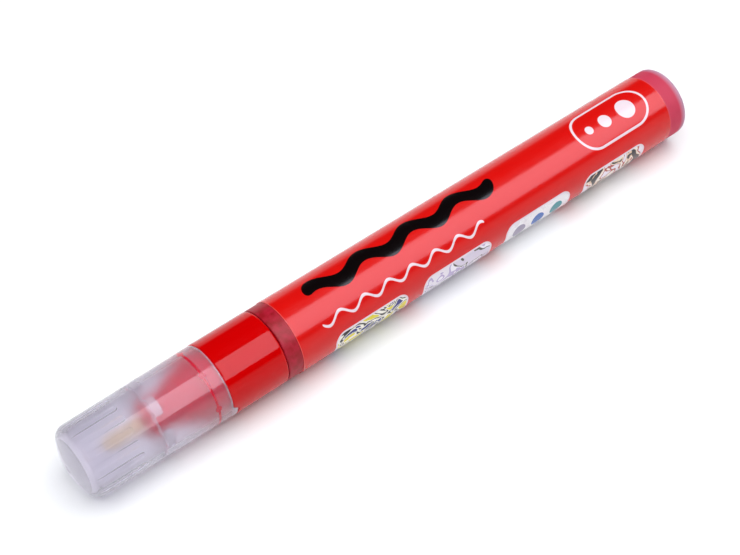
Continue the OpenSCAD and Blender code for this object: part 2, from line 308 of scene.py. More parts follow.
# A look through the cap and its liner crosses more walls of plastic than light is followed through by default.
paths = bpy.context.scene.cycles
paths.max_bounces = paths.transmission_bounces = WALLS_CROSSED
print("camera at", [round(c, 4) for c in camera.location])

# %% Lights
def softbox(name, place, size, radiance, tint):
    """Area light that hangs at a place, tilted about the pen's direction to face it."""
    light = bpy.data.lights.new(name, "AREA")
    light.shape = "RECTANGLE"
    light.size, light.size_y = size
    light.color = tint
    light.energy = radiance * math.pi * size[0] * size[1]
    box = bpy.data.objects.new(name, light)
    bpy.context.scene.collection.objects.link(box)
    box.location = place
    box.rotation_euler = (math.atan2(-place[1], place[2]), 0, 0)
    box.visible_camera = False
    print(f"{name} of {light.energy:.1f} W")
    return box


overhead = softbox("overhead_softbox", place=(0, -0.1, 0.9), size=(1.6, 1.1), radiance=2.6, tint=(1, 0.99, 1))
overhead.visible_glossy = False
strip = softbox("strip_softbox", place=(0.54, -0.42, 0.78), size=(0.76, 0.93), radiance=5.3, tint=(0.86, 0.88, 1))
strip.visible_diffuse = strip.visible_transmission = False

# %% [markdown]
# ## The room and the table
# The table is a white sheet. Far from the pen it is shown as plain white, so that the background stays clean from
# every side, and close to the pen it keeps the real shadow. A look through clear plastic and a low mirror image meet
# white as well, as they would in a white room. Higher up the room is dark in mirror images, which keeps the red deep.
# A real room round the table would do the same, but its walls would get in the way of cameras on other sides.

# %% Room
FILL, CEILING = 0.25, 0.02
SKIRTING_LOW, SKIRTING_HIGH = 0.15, 0.3


def most(tree, *values):
    """Largest of a few values."""
    largest = values[0]
    for value in values[1:]:
        largest = add(tree, "ShaderNodeMath", {0: largest, 1: value}, operation="MAXIMUM").outputs[0]
    return largest


room = bpy.data.worlds.new("studio")
room.use_nodes = True
bpy.context.scene.world = room
tree = room.node_tree
tree.nodes.clear()
ray = add(tree, "ShaderNodeLightPath").outputs
look = add(tree, "ShaderNodeSeparateXYZ", {0: add(tree, "ShaderNodeTexCoord").outputs["Generated"]})
low = between(tree, look.outputs["Z"], SKIRTING_LOW, SKIRTING_HIGH, 1, 0)
skirting = add(tree, "ShaderNodeMath", {0: ray["Is Glossy Ray"], 1: low}, operation="MULTIPLY")
white_share = most(tree, ray["Is Camera Ray"], ray["Is Transmission Ray"], skirting.outputs[0])
fill = add(tree, "ShaderNodeBackground", {"Color": linear("#F4F4FA"), "Strength": FILL})
ceiling = add(tree, "ShaderNodeBackground", {"Color": (1, 1, 1, 1), "Strength": CEILING})
white = add(tree, "ShaderNodeBackground", {"Color": (1, 1, 1, 1), "Strength": 1.0})
above = add(tree, "ShaderNodeMixShader", {0: ray["Is Glossy Ray"], 1: fill, 2: ceiling})
seen = add(tree, "ShaderNodeMixShader", {0: white_share, 1: above, 2: white})
add(tree, "ShaderNodeOutputWorld", {"Surface": seen})
print("room with a fill light of", FILL)

# %% Table
TABLE_SIDE = 12.0
SHADOW_REACH, PLAIN_WHITE = 0.16, 0.5
table_mesh = bpy.data.meshes.new("table")
half_side = TABLE_SIDE / 2
table_mesh.from_pydata([(-half_side, -half_side, 0), (half_side, -half_side, 0), (half_side, half_side, 0),
                        (-half_side, half_side, 0)], [], [(0, 1, 2, 3)])
table = bpy.data.objects.new("table", table_mesh)
bpy.context.scene.collection.objects.link(table)
# White paper is matt and even: it gives the eye a clean ground and a soft shadow.
paper = bpy.data.materials.new("paper_white_sheet")
paper.use_nodes = True
tree = paper.node_tree
tree.nodes.clear()
ray = add(tree, "ShaderNodeLightPath").outputs
away = add(tree, "ShaderNodeVectorMath", {0: add(tree, "ShaderNodeTexCoord").outputs["Object"]}, operation="LENGTH")
far = between(tree, away.outputs["Value"], SHADOW_REACH, PLAIN_WHITE)
far = add(tree, "ShaderNodeMath", {0: far, 1: most(tree, ray["Is Camera Ray"], ray["Is Glossy Ray"])},
          operation="MULTIPLY")
white_share = most(tree, ray["Is Transmission Ray"], far.outputs[0])
sheet = add(tree, "ShaderNodeBsdfDiffuse", {"Color": linear("#F5F8F9")})
glow = add(tree, "ShaderNodeEmission", {"Color": (1, 1, 1, 1), "Strength": 1.0})
seen = add(tree, "ShaderNodeMixShader", {0: white_share, 1: sheet, 2: glow})
add(tree, "ShaderNodeOutputMaterial", {"Surface": seen})
table_mesh.materials.append(paper)
table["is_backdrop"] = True
print("table of", TABLE_SIDE, "m")

# %% [markdown]
# ## What repeats round the axis
# Inside the cap stand sixteen fine ribs, the liner's rim has six teeth and the spigot six snap bumps. Such a moulding
# is the same slice over and over. A loop could copy the slice, but a Geometry Nodes tree keeps the count and the
# first angle as inputs that can be changed later: it sets the slice on as many points on the axis, each turned by
# one step, makes them real and merges the edges where neighbours meet. A boolean would do it too, but leaves
# slivers that show in a clear wall. The result is then made a plain mesh.

# %% The ring tree
SEAM = 1e-6


def open_tree(name, **sockets):
    """Geometry Nodes tree with named inputs, and its group input and output nodes."""
    tree = bpy.data.node_groups.new(name, "GeometryNodeTree")
    for label, kind in sockets.items():
        tree.interface.new_socket(label.replace("_", " "), in_out="INPUT", socket_type="NodeSocket" + kind)
    tree.interface.new_socket("Geometry", in_out="OUTPUT", socket_type="NodeSocketGeometry")
    return tree, tree.nodes.new("NodeGroupInput").outputs, tree.nodes.new("NodeGroupOutput").inputs


ring_tree, given, made = open_tree("ring_of_slices", Slice="Object", Slices="Int", First_clock="Float",
                                   Axis="Vector", Finish="Material")
points = add(ring_tree, "GeometryNodePoints", {"Count": given["Slices"], "Position": given["Axis"]})
step = add(ring_tree, "ShaderNodeMath", {0: math.tau, 1: given["Slices"]}, operation="DIVIDE")
clock = add(ring_tree, "ShaderNodeMath", {
    0: add(ring_tree, "GeometryNodeInputIndex"), 1: step, 2: given["First clock"]}, operation="MULTIPLY_ADD")
turn = add(ring_tree, "FunctionNodeEulerToRotation", {0: add(ring_tree, "ShaderNodeCombineXYZ", {0: clock})})
one = add(ring_tree, "GeometryNodeObjectInfo", {"Object": given["Slice"]})
ring = add(ring_tree, "GeometryNodeInstanceOnPoints", {
    "Points": points, "Instance": one.outputs["Geometry"], "Rotation": turn})
solid = add(ring_tree, "GeometryNodeRealizeInstances", {0: ring})
merged = add(ring_tree, "GeometryNodeMergeByDistance", {0: solid, "Distance": SEAM})
dressed = add(ring_tree, "GeometryNodeSetMaterial", {0: merged, "Material": given["Finish"]})
ring_tree.links.new(dressed.outputs[0], made["Geometry"])
print(ring_tree.name, "has", len(ring_tree.nodes), "nodes")

# %% From a tree to a piece
def grow(name, tree, **values):
    """Runs a tree with its named inputs set, and keeps the result as the plain mesh of a new piece."""
    piece = bpy.data.objects.new(name, bpy.data.meshes.new(name))
    bpy.context.scene.collection.objects.link(piece)
    step = piece.modifiers.new(tree.name, "NODES")
    step.node_group = tree
    for socket in tree.interface.items_tree:
        if socket.in_out == "INPUT":
            step[socket.identifier] = values[socket.name.replace(" ", "_")]
    mesh = bpy.data.meshes.new_from_object(piece.evaluated_get(bpy.context.evaluated_depsgraph_get()))
    piece.modifiers.remove(step)
    shape = bmesh.new()
    shape.from_mesh(mesh)
    bmesh.ops.recalc_face_normals(shape, faces=shape.faces)
    open_edges = sum(not edge.is_manifold for edge in shape.edges)
    shape.to_mesh(mesh)
    shape.free()
    mesh.shade_smooth()
    mesh.set_sharp_from_angle(angle=SHARP)
    piece.data = mesh
    print(f"{name}: {len(mesh.polygons)} faces from {tree.name}, {open_edges} open edges")
    return piece


def half_slice(close, slices, steps):
    """Clock angles of half a slice: those set close together in its middle, and even steps to its edge."""
    last, edge = close[-1], math.pi / slices
    return close + [last + (edge - last) * i / steps for i in range(1, steps + 1)]


def ring_of(name, outline, clocks, slices, first_clock, finish):
    """Moulding made of equal slices round the axis. clocks are those of one half slice, from its middle out."""
    clocks = [-clock for clock in reversed(clocks[1:])] + clocks
    one = sweep("slice", outline, clocks, ends="open")
    piece = grow(name, ring_tree, Slice=one, Slices=slices, First_clock=first_clock, Axis=(0, 0, axis_z),
                 Finish=finish)
    bpy.data.objects.remove(one)
    return piece


def shift_along(piece, first_u, least_r, shift, last_u):
    """Moves the points between two stations, from a radius out, along the pen by what shift gives at their clock."""
    for vert in piece.data.vertices:
        u, y, z = (vert.co.x - x_start) / MM, vert.co.y / MM, (vert.co.z - axis_z) / MM
        if first_u < u < last_u and math.hypot(y, z) > least_r:
            vert.co.x += shift(math.atan2(y, -z)) * MM


print("half a slice of six:", [round(math.degrees(clock)) for clock in half_slice([0], 6, 3)], "degrees")

# %% [markdown]
# ## The cap
# The cap is injection moulded from natural polypropylene, which is milky and lets blurred shapes through. Its outside
# comes off a polished mould and mirrors the softbox; its inside is matt, and that blurs whatever lies deeper. A
# volume could give the milkiness, but it renders slowly and with grain, so one surface finish does it all. Its
# roughness is switched where the outer surface begins, the ribbed part is a little greyer, and the closed end and
# the rim, where one looks into thick plastic, scatter part of the light back.

# %% Cap sizes
cap_wall, cap_end_wall, cap_round, dome_r = 0.9, 1.3, 2.0, 14.2
cap_end_r, cap_mouth_r, tab_l = 6.85, 7.15, 0.95
cap_l = tab_end - tab_l
edge_r = cap_end_r - cap_round
edge_u = dome_r - math.sqrt((dome_r - cap_round) ** 2 - edge_r**2)
cap_draft = (cap_mouth_r - cap_end_r) / (cap_l - edge_u)


def cap_radius(u):
    """Outside radius of the cap's drafted side at a station."""
    return cap_end_r + cap_draft * (u - edge_u)


print(f"cap of {cap_l:.2f} mm, drafted by {math.degrees(math.atan(cap_draft)):.2f} degrees")

# %% Cap finish
# Natural polypropylene off a polished mould: a milky lavender grey that blurs what lies behind it, under a clear
# mirror image. Its clouds are 3 mm of flowing melt, and its bumps the long, low waves that polishing leaves.
cap_plastic, tree, shader, mm = new_finish("polypropylene_natural_moulded", IOR=1.49, Specular_IOR_Level=0.3)
along, spoke = place_on_pen(tree, mm)
skin, polished, matt_by_ribs, matt_behind = 0.15, 0.08, 0.5, 0.62
end_clears, ribs_begin, ribs_fade, liner_begins = (0.9, 2.2), (1, 3), (8, 14), (12, 15)
# Distance from the circle about which the cap's edge is rounded, which the outer surface keeps at cap_round or more.
before = add(tree, "ShaderNodeMath", {0: edge_u, 1: along}, operation="SUBTRACT")
beyond = add(tree, "ShaderNodeMath", {0: spoke, 1: edge_r}, operation="SUBTRACT")
corner = add(tree, "ShaderNodeCombineXYZ", {0: before, 1: beyond})
corner = add(tree, "ShaderNodeVectorMath", {0: corner, 1: (0, 0, 0)}, operation="MAXIMUM")
corner = add(tree, "ShaderNodeVectorMath", {0: corner}, operation="LENGTH")
outside = add(tree, "ShaderNodeMath", {0: corner.outputs["Value"], 1: cap_round - skin}, operation="GREATER_THAN")
haze = speckle(tree, mm, 3.0, stretch=(3, 1, 1))
body = blend(tree, haze, linear("#EFECF7"), linear("#F3F0FB"))
ribbed = add(tree, "ShaderNodeMath", {
    0: between(tree, along, *ribs_begin), 1: between(tree, along, *ribs_fade, 1, 0)}, operation="MINIMUM").outputs[0]
matt = between(tree, along, *liner_begins, matt_by_ribs, matt_behind)
clear_end = between(tree, along, *end_clears, 0.8, 0.99)
milky_rim = between(tree, along, cap_l - 0.3, cap_l - 0.1, 1, 0.78)
clear = add(tree, "ShaderNodeMath", {0: clear_end, 1: milky_rim}, operation="MINIMUM")
feed(tree, shader, Base_Color=blend(tree, ribbed, body, linear("#E6E3EF")),
     Roughness=between(tree, outside, 0, 1, matt, polished), Transmission_Weight=clear.outputs[0])
relief(tree, shader, speckle(tree, mm, 2.0, detail=0), 0.0008)
print(cap_plastic.name, "has", len(tree.nodes), "nodes")

# %% [markdown]
# ## The cap's shell
# The outline runs from the gate mark in the middle of the domed end, over the rounded edge, down the drafted side to
# the rim, and back along the inside. The ribs are low bars with a round end, and one slice of the cap holds one rib.
# They could be separate bars, but a clear wall would show the joint. The lifting tab is pulled out of the finished
# rim at its own clock angles.

# %% Lifting tab
tab_w, tab_clock = 6.0, math.radians(296)


def soft_step(value, low, high):
    """Share from 0 to 1 that rises smoothly between two values."""
    share = max(0, min(1, (value - low) / (high - low)))
    return share * share * (3 - 2 * share)


def tab_height(clock, spare=0):
    """How far the lifting tab, or with some spare room the notch for it, stands out at a clock angle."""
    away = (clock - tab_clock + math.pi) % math.tau - math.pi
    if abs(away) > math.pi / 2:
        return 0
    edge = tab_w / 2 + spare - abs(cap_mouth_r * math.sin(away))
    return (tab_l + spare) * soft_step(edge, 0, tab_l + spare)


print("tab stands out by", tab_height(tab_clock), "mm")

# %% Cap outline
ribs, rib_w, rib_foot, rib_crest, rib_end, rib_slope = 16, 1.0, 5.95, 5.91, 10.6, 0.12
gate_r = 0.9
edge_angle, gate_angle = math.atan2(edge_r, dome_r - edge_u), math.asin(gate_r / dome_r)
inner_round = cap_round - cap_wall
inner_edge_u = cap_end_wall + inner_round
inner_edge_r = cap_radius(inner_edge_u) - cap_wall - inner_round
gate = [(0.05, 0, 0), (0.05, 0.3, 0), (0.13, 0.36, 0), (0.13, 0.6, 0), (0.03, 0.72, 0)]
dome = [(dome_r - dome_r * math.cos(a), dome_r * math.sin(a), 0)
        for a in [gate_angle + (edge_angle - gate_angle) * i / 16 for i in range(17)]]
shoulder = [(edge_u - cap_round * math.cos(a), edge_r + cap_round * math.sin(a), 0)
            for a in [edge_angle + (math.pi / 2 - edge_angle) * i / 14 for i in range(1, 15)]]
inner_end = [(inner_edge_u - inner_round * math.sin(a), inner_edge_r + inner_round * math.cos(a))
             for a in [math.pi / 2 * i / 12 for i in range(13)]]
rib_tip = [11.35 - 0.05 * i for i in range(13)]
bore_stations = (12, 11.4, *rib_tip, 10.6, 10, 8, 6, 4, 3)


def cap_outline(clock):
    """Outline of the cap at a clock angle from the middle of a rib."""
    def inside(u, r):
        away = math.hypot(clock * rib_foot, max(0, u - rib_end))
        rise = soft_step(rib_w / 2 - away, -rib_slope, rib_slope)
        return u, r - max(0, r - rib_crest) * rise, 0

    side = [(edge_u + HOLD, cap_radius(edge_u + HOLD), 0)]
    rim = [(cap_l, cap_mouth_r, 0.2), (cap_l, cap_mouth_r - cap_wall, 0.15)]
    bore = [inside(u, cap_radius(u) - cap_wall) for u in bore_stations]
    end = [inside(u, r) for u, r in inner_end] + [(cap_end_wall, 0, 0)]
    return rounded(gate + dome + shoulder + side + rim + bore + end)


print("cap outline of", len(cap_outline(0)), "points")

# %% Cap shell
first_rib = math.radians(11.5)
rib_side = [(rib_w / 2 + rib_slope * (i / 5 - 1)) / rib_foot for i in range(11)]
cap_shell = ring_of("cap_moulding", cap_outline, half_slice([0, 0.03, *rib_side], ribs, 6), ribs, first_rib,
                    cap_plastic)
# Only the points of the rim move.
shift_along(cap_shell, cap_l - 0.3, 0, tab_height, cap_l + 0.1)
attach(cap_shell, "cap")
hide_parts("cap_shell")

# %% [markdown]
# ## The cap's liner
# A soft cup inside the cap seals on the nib holder, so that the nib doesn't dry out. It is natural polyethylene,
# whiter than the cap. Frosted plastic shows sharply only what touches it, so the liner's toothed rim sits in the
# cap's wall by a hair and is milky. The tube lies deeper and would hide the nib, so it is clear and has a low alpha,
# which only makes the nib behind it a little paler.

# %% Liner finish
liner_in, liner_out, rim_r, rim_in, rim_h = 4.98, 5.58, 6.06, 5.46, 0.25
web_front, web_rear, tooth_end, tooth_w = 14.32, 15.02, 17.02, 3.4
# Natural polyethylene off a matt mould: a soft white that glows a little where it is thick. The bumps of the mould's
# texture are drawn coarser than the real 0.05 mm, so that they show.
liner_plastic, tree, shader, mm = new_finish("polyethylene_natural_moulded", IOR=1.51, Specular_IOR_Level=0.2)
along, spoke = place_on_pen(tree, mm)
crown_begins, tube_ends = (web_front, web_rear + 0.6), (5.1, 5.4)
crown = add(tree, "ShaderNodeMath", {
    0: between(tree, along, *crown_begins), 1: between(tree, spoke, *tube_ends)}, operation="MULTIPLY")
feed(tree, shader, Base_Color=blend(tree, speckle(tree, mm, 2.0), linear("#F6F5FA"), linear("#FBFBFD")),
     Roughness=between(tree, crown, 0, 1, 0.12, 0.3), Transmission_Weight=between(tree, crown, 0, 1, 1, 0.76),
     Alpha=between(tree, crown, 0, 1, 0.1, 1))
relief(tree, shader, speckle(tree, mm, 0.4), 0.003)
print(liner_plastic.name, "has", len(tree.nodes), "nodes")

# %% Liner
holder_r, squeeze, touch = 3.2, 0.01, 0.008
lip_in, lip_out = holder_r - squeeze, 3.8
teeth, tooth_clock, tooth_corner, tooth_flank = 6, math.radians(21), 0.45, (-0.06, 0.02)
tooth_steps = (0.45, 0.37, 0.29, 0.22, 0.15, 0.09, 0.04, 0.02, 0, -0.02, -0.04, -0.06)


def in_wall(u):
    """Radius that reaches into the cap's wall by a hair, so that what sits there and the wall show as one."""
    return cap_radius(u) - cap_wall + touch


def liner_outline(clock):
    """Outline of the liner at a clock angle from the middle of a tooth."""
    edge = tooth_w / 2 - abs(clock) * rim_r
    drop = tooth_corner - math.sqrt(max(0, tooth_corner**2 - max(0, tooth_corner - edge) ** 2))
    top = web_rear + rim_h
    top += (tooth_end - drop - top) * soft_step(edge, *tooth_flank)
    return rounded([
        (liner_front, liner_in, 0.28), (liner_front, liner_out, 0.28), (web_front, liner_out, 0.1),
        (web_front, in_wall(web_front), 0.1), (top, in_wall(top), 0.1), (top, rim_in, 0.1), (web_rear, rim_in, 0.1),
        (web_rear, lip_out, 0.2), (lip_end, lip_out, 0.15), (lip_end, lip_in, 0.2), (web_front, lip_in, 0.1),
        (web_front, liner_in, 0.2)])


tooth_side = [(tooth_w / 2 - step) / rim_r for step in tooth_steps]
liner = ring_of("liner_cup", liner_outline, half_slice([0, 0.06, 0.12, *tooth_side], teeth, 8), teeth, tooth_clock,
                liner_plastic)
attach(liner, "cap")
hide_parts("cap_liner")

# %% [markdown]
# ## The front section
# Nib holder, cone, spigot, collar and the plug in the barrel are one glossy red moulding. Polypropylene with a strong
# organic red has almost no green or blue in it, so its body colour is nearly pure, and what lightens it is the mirror
# image of the softbox and the table. Under the cap the red is painted a little brighter and pinker: this is painted
# light that makes up for the light the frosted wall holds back, so the colour keeps. The collar has a notch for the
# cap's tab, and the spigot a low bead with six bumps that click into
# the cap. A bevel could round its edges, but the outline already has a radius for each of them.

# %% Front section finish
# Red polypropylene off a polished mould: a deep, even red under a sharp mirror image. Its colour drifts over 5 mm, as
# the melt flowed, its gloss over 1.2 mm, and its bumps are the low waves of the mould.
red_plastic, tree, shader, mm = new_finish("polypropylene_red_polished_mould", IOR=1.49, Specular_IOR_Level=0.21)
# Painted light: under the cap the red is painted brighter and pinker, to make up for the light the frosted cap holds
# back.
painted_light_under_cap = between(tree, place_on_pen(tree, mm)[0], cap_l - 0.2, cap_l + 0.1, 1, 0)
collar_red = blend(tree, speckle(tree, mm, 5.0, stretch=(4, 1, 1)), linear("#BE0001"), linear("#C70002"))
feed(tree, shader, Base_Color=blend(tree, painted_light_under_cap, collar_red, linear("#CE0430")),
     Roughness=uneven(tree, speckle(tree, mm, 1.2), 0.05, 0.09))
relief(tree, shader, speckle(tree, mm, 0.8), 0.0008)
print(red_plastic.name, "has", len(tree.nodes), "nodes")

# %% Front section outline
nib_bore, chamber_r, valve_bore, spigot_r, collar_r, plug_r = 1.36, 2.48, 4.4, 6.05, 7.2, 6.03
chamber_u, cone_u, spigot_u, snap_u, collar_u, valve_u = 20.52, 19.02, 25.22, 25.89, 28.52, 30.54
collar_end = barrel_front - 0.02
bump_r, bump_slope, bead_foot, bead_top = 0.7, 0.12, 0.42, 0.22
notch_floor, notch_lip = 6.15, 0.004


def section_outline(clock):
    """Outline of the front section at a clock angle from the middle of a snap bump."""
    def on_spigot(offset):
        contact = in_wall(snap_u + offset) - spigot_r
        bead = soft_step(abs(offset), bead_foot, bead_top)
        bump = soft_step(math.hypot(offset, clock * spigot_r), bump_r, bump_r - bump_slope)
        return snap_u + offset, spigot_r + contact * max(bead, bump), 0

    holder = [(holder_front, nib_bore, 0.2), (holder_front, holder_r, 0.4), (cone_u, holder_r, 0.5)]
    spigot = [(spigot_u, spigot_r - 0.3, 0.1), *(on_spigot(offset / 30) for offset in range(-19, 25))]
    collar = [(collar_u, spigot_r, 0), (collar_u, notch_floor, 0), (collar_u + notch_lip, notch_floor, 0),
              (collar_u + notch_lip, collar_r, 0.15), (collar_end, collar_r, 0.5), (collar_end, plug_r, 0)]
    plug = [(plug_end - 0.4, plug_r, 0.2), (plug_end, plug_r - 0.4, 0.2), (plug_end, valve_bore, 0.15)]
    bores = [(valve_u, valve_bore, 0), (valve_u, chamber_r, 0), (chamber_u, chamber_r, 0), (chamber_u, nib_bore, 0)]
    return rounded(holder + spigot + collar + plug + bores)


print("front section outline of", len(section_outline(0)), "points")

# %% Front section
NOTCH_ROOM = 0.1
bump_side = [0.05 * i / spigot_r for i in range(16)]
section = ring_of("section_moulding", section_outline, half_slice(bump_side, teeth, 20), teeth, tooth_clock,
                  red_plastic)
# Only the points of the collar's front face move.
shift_along(section, collar_u + notch_lip / 2, notch_floor - 0.01, lambda clock: tab_height(clock, NOTCH_ROOM),
            collar_u + 0.5)
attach(section, "pen_body")
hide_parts("front_section")

# %% [markdown]
# ## The nib
# The nib is a rod of bonded polyester fibres, ground to a bullet point. The fibres run along it and are far too fine
# to model, so they are a noise that is drawn out along the pen.

# %% Nib finish
# Bonded fibre is matt and cream, with fine lines along the rod. The lines are coarser than the real 0.02 mm, so that
# they show.
nib_fibre, tree, shader, mm = new_finish("polyester_fibre_bonded_ground", IOR=1.5, Roughness=0.85, Sheen_Weight=0.2)
fibres = speckle(tree, mm, 0.12, stretch=(30, 1, 1), detail=3)
feed(tree, shader,
     Base_Color=blend(tree, between(tree, fibres, 0.35, 0.65), linear("#D8BE8E"), linear("#EEDDB8")))
relief(tree, shader, fibres, 0.03)
print(nib_fibre.name, "has", len(tree.nodes), "nodes")

# %% Nib
def all_round(steps=192):
    """Clock angles of a full turn."""
    return [math.tau * i / steps for i in range(steps)]


nib_r, nib_point = 1.3, 1.9
point = [(nib_tip + nib_point * (1 - math.cos(a)), nib_r * math.sin(a), 0)
         for a in [math.pi / 2 * i / 16 for i in range(17)]]
nib = sweep("nib_rod", rounded(point + [(nib_rear, nib_r, 0.2), (nib_rear, 0, 0)]), all_round(96), nib_fibre)
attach(nib, "nib_unit")
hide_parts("nib")

# %% [markdown]
# ## The barrel and the paint in it
# The barrel is natural polypropylene with a frosted outside. Where it is bare it takes its colour from the paint that
# wets its inside. Seen through frosting that is one soft colour, so most of it is given to the wall itself, which is
# steadier than light that has to find its way through: a maroon in front of the label, pink near the tail, and a
# paler mauve in the thick rim of the tail. The change between them is hidden under the label. The paint itself is a
# thin film.

# %% Barrel finish
barrel_r, bore_r, tail_wall, tail_fillet = 7.15, 6.05, 1.3, 0.9
tail_floor = tail_end - tail_wall
under_label = 80, 100
# Frosted polypropylene: a soft sheen instead of a mirror image, and the colour of the paint behind it, in smears of
# about 1 mm. The bumps of the frosting are coarser than the real 0.05 mm, so that they show.
barrel_plastic, tree, shader, mm = new_finish("polypropylene_natural_frosted", IOR=1.49, Specular_IOR_Level=0.25)
along, spoke = place_on_pen(tree, mm)
smear = between(tree, speckle(tree, mm, 1.1, detail=4), 0.35, 0.7)
band = blend(tree, smear, linear("#900614"), linear("#AE1430"))
rim = add(tree, "ShaderNodeMath", {
    0: between(tree, along, tail_floor - 0.2, tail_end - 0.3),
    1: between(tree, spoke, bore_r, barrel_r - 0.2)}, operation="MULTIPLY")
tail = blend(tree, rim, linear("#DA3C5D"), linear("#CFA6C0"))
matt = between(tree, along, *under_label, 0.36, 0.62)
rough = add(tree, "ShaderNodeMath", {0: smear, 1: 0.08, 2: matt}, operation="MULTIPLY_ADD")
feed(tree, shader, Base_Color=blend(tree, between(tree, along, *under_label), band, tail),
     Roughness=rough.outputs[0], Transmission_Weight=between(tree, along, *under_label, 0.03, 0.3))
relief(tree, shader, speckle(tree, mm, 0.25), 0.006)
print(barrel_plastic.name, "has", len(tree.nodes), "nodes")

# %% Barrel
mark_r, mark_depth = 0.5, 0.12
mark_u = tail_end - mark_depth
barrel = sweep("barrel_tube", rounded([
    (mark_u, 0, 0), (mark_u, mark_r, 0), (tail_end, mark_r + mark_depth, 0.05), (tail_end, barrel_r, 0.35),
    (barrel_front, barrel_r, 0.2), (barrel_front, bore_r + 0.2, 0), (barrel_front + 0.4, bore_r, 0),
    (tail_floor, bore_r, tail_fillet), (tail_floor, 0, 0)]), all_round(), barrel_plastic)
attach(barrel, "pen_body")
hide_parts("barrel")

# %% Paint film
# Wet acrylic paint is a strong red with a soft gloss, in streaks of 2 mm where it ran along the bore.
wet_paint, tree, shader, mm = new_finish("acrylic_paint_wet_film", IOR=1.45, Roughness=0.25)
streaks = uneven(tree, speckle(tree, mm, 2.0, stretch=(6, 1, 1), detail=4), 0, 1)
feed(tree, shader, Base_Color=blend(tree, streaks, linear("#B30A18"), linear("#D81626")))
film_gap, film_depth = 0.005, 0.04
film_out, film_in, film_start = bore_r - film_gap, bore_r - film_depth, plug_end + 0.06
paint = sweep("paint_film", rounded([
    (tail_floor - film_gap, 0, 0), (tail_floor - film_gap, film_out, tail_fillet), (film_start, film_out, 0),
    (film_start, film_in, 0), (tail_floor - film_depth, film_in, tail_fillet), (tail_floor - film_depth, 0, 0)]),
    all_round(), wet_paint)
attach(paint, "pen_body")

# %% [markdown]
# ## The printed label
# The label is one sheet of printed film, wrapped round the barrel until its ends overlap at the back. A closed tube
# would have no seam, so the sheet is swept over a little more than a full turn, and its first end is tucked under the
# last. Each point keeps its place on the flat sheet in an attribute, and the print is drawn there in millimetres:
# a thick and a thin stroke, three discs in a frame, and windows of poured paint. Every printed shape starts from
# the distance to a box with round corners, which one short function gives.

# %% Print helpers
INK_EDGE = 0.03
SWIRL_LOW, SWIRL_SPAN = 0.36, 0.28


def rounded_box(tree, point, centre, half, corner):
    """Distance in mm to a printed box with round corners, below zero inside it."""
    offset = add(tree, "ShaderNodeVectorMath", {0: point, 1: (*centre, 0)}, operation="SUBTRACT")
    folded = add(tree, "ShaderNodeVectorMath", {0: offset}, operation="ABSOLUTE")
    past = add(tree, "ShaderNodeVectorMath", {0: folded, 1: (half[0] - corner, half[1] - corner, 0)},
               operation="SUBTRACT")
    outside = add(tree, "ShaderNodeVectorMath", {0: past, 1: (0, 0, 0)}, operation="MAXIMUM")
    reach = add(tree, "ShaderNodeVectorMath", {0: outside}, operation="LENGTH")
    return add(tree, "ShaderNodeMath", {0: reach.outputs["Value"], 1: corner}, operation="SUBTRACT")


def disc(tree, point, centre, radius):
    """Distance in mm to a printed disc, which is a box that is all corner."""
    return rounded_box(tree, point, centre, (radius, radius), radius)


def ink(tree, under, colour, distance, inset=0):
    """Prints a colour over another where a distance is below minus the inset."""
    share = between(tree, distance, -inset - INK_EDGE, -inset + INK_EDGE, 1, 0)
    return blend(tree, share, under, colour)


def waved(tree, point, height, length):
    """Print coordinates that are bent into a wave along the pen, for a stroke that follows it."""
    s = add(tree, "ShaderNodeSeparateXYZ", {0: point})
    phase = add(tree, "ShaderNodeMath", {0: s.outputs["X"], 1: math.tau / length}, operation="MULTIPLY")
    swing = add(tree, "ShaderNodeMath", {0: add(tree, "ShaderNodeMath", {0: phase}, operation="SINE"), 1: height},
                operation="MULTIPLY")
    lift = add(tree, "ShaderNodeCombineXYZ", {1: swing})
    return add(tree, "ShaderNodeVectorMath", {0: point, 1: lift}, operation="SUBTRACT")


def poured(tree, point, colours, size):
    """Swirls of poured paint in a few colours, in blotches of about size mm."""
    swirl = add(tree, "ShaderNodeTexNoise", {"Vector": point, "Scale": 1 / size, "Detail": 1, "Distortion": 1.6})
    ramp = add(tree, "ShaderNodeValToRGB", {0: swirl})
    ramp.color_ramp.interpolation = "CONSTANT"
    stops = ramp.color_ramp.elements
    while len(stops) < len(colours):
        stops.new(1)
    for i, (stop, code) in enumerate(zip(stops, colours)):
        stop.position, stop.color = SWIRL_LOW + SWIRL_SPAN * i / len(colours) if i else 0, linear(code)
    return ramp.outputs["Color"]


print("printed edges are", 2 * INK_EDGE, "mm soft")

# %% Label ground and strokes
label_r, label_in, facing = 7.245, 7.16, math.radians(214)
# Printed polypropylene film with a gloss varnish: a flat, strong red under a mirror image that is a little soft. The
# ink's tone drifts over 9 mm, the varnish over 2.5 mm, and the film lies in low waves of 3 mm.
label_film, tree, shader, mm = new_finish("polypropylene_film_printed_gloss", IOR=1.5, Specular_IOR_Level=0.33)
print_at = add(tree, "ShaderNodeAttribute", attribute_name="wrap").outputs["Vector"]
print_at = add(tree, "ShaderNodeVectorMath", {0: print_at, 1: (label_front, facing, 0)}, operation="SUBTRACT")
print_at = add(tree, "ShaderNodeVectorMath", {0: print_at, 1: (1, label_r, 1)}, operation="MULTIPLY").outputs[0]
white_ink, black_ink = linear("#E6D6DF"), linear("#0A0506")
colour = blend(tree, speckle(tree, mm, 9.0), linear("#CF0D09"), linear("#D3100C"))
thick = waved(tree, print_at, height=1.1, length=11)
stroke = rounded_box(tree, thick, centre=(28, -4.2), half=(22, 1.5), corner=1.5)
colour = ink(tree, colour, black_ink, stroke)
thin = waved(tree, print_at, height=0.8, length=5.5)
stroke = rounded_box(tree, thin, centre=(24.5, 2.2), half=(19, 0.28), corner=0.28)
colour = ink(tree, colour, white_ink, stroke)
print("label printed with a thick and a thin stroke")

